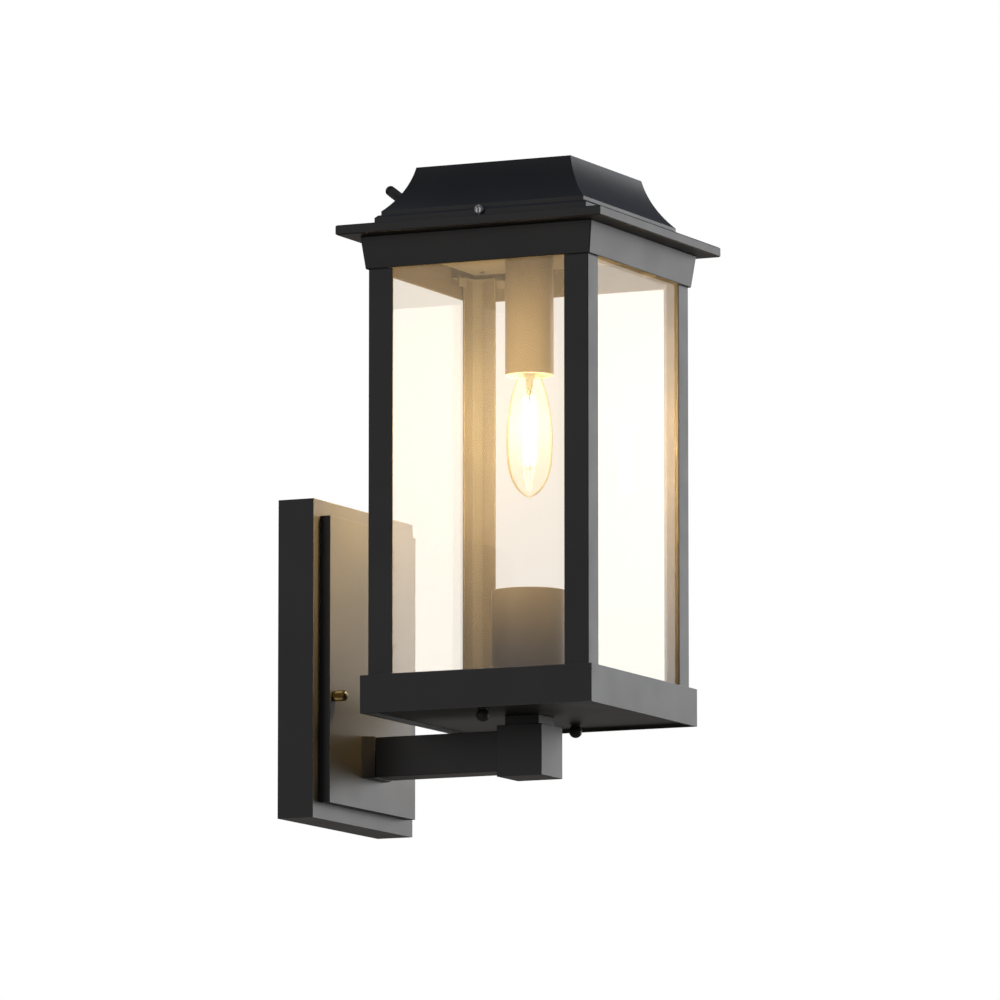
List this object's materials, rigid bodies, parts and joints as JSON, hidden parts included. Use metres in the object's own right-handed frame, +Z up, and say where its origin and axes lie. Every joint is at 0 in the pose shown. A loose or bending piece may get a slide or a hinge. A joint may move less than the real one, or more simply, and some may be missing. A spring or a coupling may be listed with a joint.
{
  "type": "outdoor wall lantern",
  "caption": "Square glazed outdoor wall lantern on a short arm, with a lift-off coved roof that carries a hanging candle bulb.",
  "frame": {"origin": "centre of the two outlet-box screw holes, in the wall plane", "axes": "+Z up, +Y into the wall, so the lantern stands out towards -Y; +X to the right for a person facing the wall"},
  "size_m": [0.2, 0.254, 0.448],
  "materials": {
    "black_metal": "satin powder coat",
    "zinc_steel": "zinc plated",
    "polished_brass": "polished",
    "ground_green": "gloss",
    "gasket_foam": "matt closed-cell foam",
    "wire_nut_plastic": "satin",
    "lead_jacket": "satin",
    "pane_glass": "clear",
    "socket_plastic": "moulded",
    "bulb_glass": "clear",
    "bulb_cap_metal": "rolled thread",
    "contact_insulator": "vitrite",
    "filament_glow": "phosphor coated"
  },
  "bodies": {
    "fixture": {"crossbar": "zinc_steel", "mounting_studs": "zinc_steel", "stud_nuts": "zinc_steel", "ground_screw": "ground_green", "gasket": "gasket_foam", "backplate": "black_metal", "cover_plate": "black_metal", "wire_nuts": "wire_nut_plastic", "supply_leads": "lead_jacket", "arm_collar": "black_metal", "arm": "black_metal", "arm_nipple": "zinc_steel", "arm_nuts": "zinc_steel", "end_block": "black_metal", "neck": "black_metal", "stem_nipple": "zinc_steel", "stem_nuts": "zinc_steel", "base_tray": "black_metal", "cage_floor": "black_metal", "base_studs": "zinc_steel", "wire_cover": "black_metal", "post_front_left": "black_metal", "post_front_right": "black_metal", "post_back_left": "black_metal", "post_back_right": "black_metal", "glass_front": "pane_glass", "glass_back": "pane_glass", "glass_left": "pane_glass", "glass_right": "pane_glass", "glass_clips": "black_metal", "wire_channel": "black_metal", "riser_lead": "lead_jacket", "band": "black_metal"},
    "roof": {"brim": "black_metal", "roof_step": "black_metal", "roof_cap": "black_metal", "ceiling_plate": "black_metal", "ceiling_screws": "zinc_steel", "socket_nipple": "zinc_steel", "socket_nuts": "zinc_steel", "sleeve": "black_metal", "socket": "socket_plastic", "socket_shell": "polished_brass", "socket_contact": "polished_brass", "socket_leads": "lead_jacket"},
    "bulb": {"bulb_glass": "bulb_glass", "bulb_cap": "bulb_cap_metal", "bulb_contact": "contact_insulator", "bulb_stem": "bulb_glass", "filament": "filament_glow"},
    "cap_nut_left": {"cap_nut_left": "polished_brass"},
    "cap_nut_right": {"cap_nut_right": "polished_brass"},
    "ball_nut_left": {"ball_nut_left": "black_metal"},
    "ball_nut_right": {"ball_nut_right": "black_metal"},
    "roof_screw_left": {"roof_screw_left": "zinc_steel"},
    "roof_screw_right": {"roof_screw_right": "zinc_steel"},
    "roof_knob_left": {"roof_knob_left": "black_metal"},
    "roof_knob_right": {"roof_knob_right": "black_metal"}
  },
  "joints": [
    {"name": "roof_lift", "type": "slide", "parent": "fixture", "child": "roof", "axis": [0, 0, 1], "range_m": [0, 0.2]},
    {"name": "bulb_turn", "type": "hinge", "parent": "roof", "child": "bulb", "pos_m": [0, -0.154, 0.2], "axis": [0, 0, 1], "continuous": true},
    {"name": "cap_nut_left_turn", "type": "hinge", "parent": "fixture", "child": "cap_nut_left", "pos_m": [-0.061, -0.0345, 0], "axis": [0, -1, 0], "continuous": true},
    {"name": "cap_nut_right_turn", "type": "hinge", "parent": "fixture", "child": "cap_nut_right", "pos_m": [0.061, -0.0345, 0], "axis": [0, -1, 0], "continuous": true},
    {"name": "ball_nut_left_turn", "type": "hinge", "parent": "fixture", "child": "ball_nut_left", "pos_m": [-0.06, -0.147, -0.0136], "axis": [0, 0, -1], "continuous": true},
    {"name": "ball_nut_right_turn", "type": "hinge", "parent": "fixture", "child": "ball_nut_right", "pos_m": [0.06, -0.161, -0.0136], "axis": [0, 0, -1], "continuous": true},
    {"name": "roof_screw_left_turn", "type": "hinge", "parent": "roof", "child": "roof_screw_left", "pos_m": [-0.08, -0.154, 0.3263], "axis": [-1, 0, 0], "continuous": true},
    {"name": "roof_screw_right_turn", "type": "hinge", "parent": "roof", "child": "roof_screw_right", "pos_m": [0.08, -0.154, 0.3263], "axis": [1, 0, 0], "continuous": true},
    {"name": "roof_knob_left_turn", "type": "hinge", "parent": "roof", "child": "roof_knob_left", "pos_m": [-0.055, -0.08525, 0.3405], "axis": [0, 0.788, 0.6157], "continuous": true},
    {"name": "roof_knob_right_turn", "type": "hinge", "parent": "roof", "child": "roof_knob_right", "pos_m": [0.055, -0.08525, 0.3405], "axis": [0, 0.788, 0.6157], "continuous": true}
  ]
}
